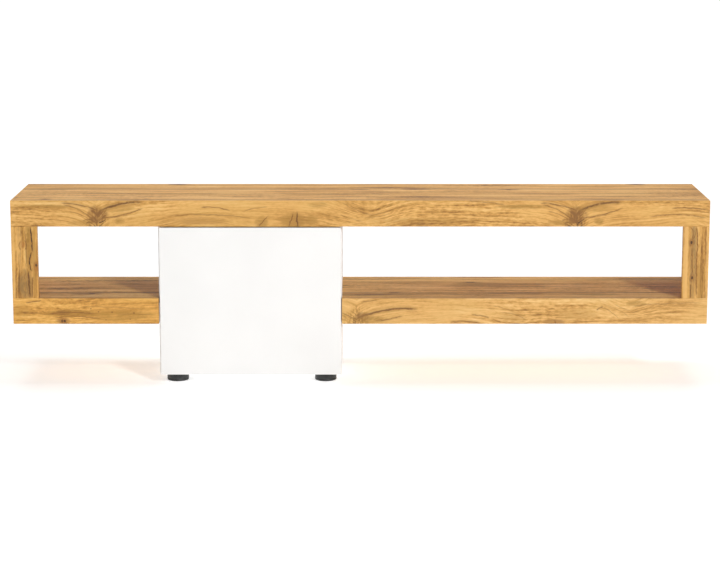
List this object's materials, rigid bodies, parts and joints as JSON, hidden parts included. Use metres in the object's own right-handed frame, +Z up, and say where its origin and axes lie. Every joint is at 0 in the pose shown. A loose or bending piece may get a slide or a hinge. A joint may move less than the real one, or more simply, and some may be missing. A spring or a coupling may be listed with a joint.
{
  "type": "tv stand",
  "caption": "Low wide oak-look media bench with two open bays around a white box that has one push-open door, on short round feet.",
  "frame": {"origin": "on the floor, under the centre of the outline", "axes": "+Z up, the door and facings face -Y, +X to the viewer's right; the box is left of centre"},
  "size_m": [2, 0.35, 0.536],
  "materials": {
    "oak_board": "satin",
    "oak_board_upright": "satin",
    "white_board": "satin",
    "white_hardboard": "matte",
    "plated_steel": "satin",
    "nickel_zinc": "satin",
    "bracket_steel": "satin",
    "black_plastic": "matte",
    "grey_pad": "matte",
    "birch": "matte",
    "latch_plastic": "matte"
  },
  "bodies": {
    "stand": {"top_panel": "oak_board", "top_facing": "oak_board", "left_lower_facing": "oak_board", "right_lower_facing": "oak_board", "left_shelf": "oak_board", "right_shelf": "oak_board", "top_rear_rail_left": "oak_board", "top_rear_rail_right": "oak_board", "low_rear_rail_left": "oak_board", "low_rear_rail_right": "oak_board", "left_post_facing": "oak_board_upright", "right_post_facing": "oak_board_upright", "left_end_panel": "oak_board_upright", "right_end_panel": "oak_board_upright", "box_left_side": "white_board", "box_right_side": "white_board", "box_bottom": "white_board", "box_top": "white_board", "inner_shelf": "white_board", "box_back": "white_hardboard", "shelf_pins": "plated_steel", "foot_screws": "plated_steel", "cam_bolts": "plated_steel", "back_nails": "plated_steel", "bracket_screws": "plated_steel", "plate_screws": "plated_steel", "latch_screws": "plated_steel", "cam_housings": "nickel_zinc", "hinge_plates": "nickel_zinc", "hinge_arms": "nickel_zinc", "wall_brackets": "bracket_steel", "feet": "black_plastic", "foot_pads": "grey_pad", "frame_dowels": "birch", "facing_dowels": "birch", "latch_housing": "latch_plastic", "arm_screws": "plated_steel"},
    "door": {"door": "white_board", "hinge_cups": "nickel_zinc", "cup_screws": "plated_steel", "strike_plate": "plated_steel", "strike_screws": "plated_steel"},
    "hinge_links": {"hinge_links": "nickel_zinc"},
    "latch_plunger": {"latch_plunger": "latch_plastic"}
  },
  "joints": [
    {"name": "door_swing", "type": "hinge", "parent": "stand", "child": "door", "pos_m": [-0.574, -0.171, 0.24], "axis": [0, 0, -1], "range_deg": [-0.25, 100]},
    {"name": "hinge_link_pivot", "type": "hinge", "parent": "door", "child": "hinge_links", "pos_m": [-0.5671, -0.163, 0.24], "axis": [0, 0, 1], "range_deg": [-0.3, 100.5]},
    {"name": "latch_plunger_slide", "type": "slide", "parent": "stand", "child": "latch_plunger", "axis": [0, -1, 0], "range_m": [-0.0001, 0.015]}
  ],
  "couplings": [
    {"joint": "hinge_link_pivot", "follows": "door_swing", "ratio": 1},
    {"joint": "latch_plunger_slide", "follows": "door_swing", "m_per_rad": 0.008}
  ]
}
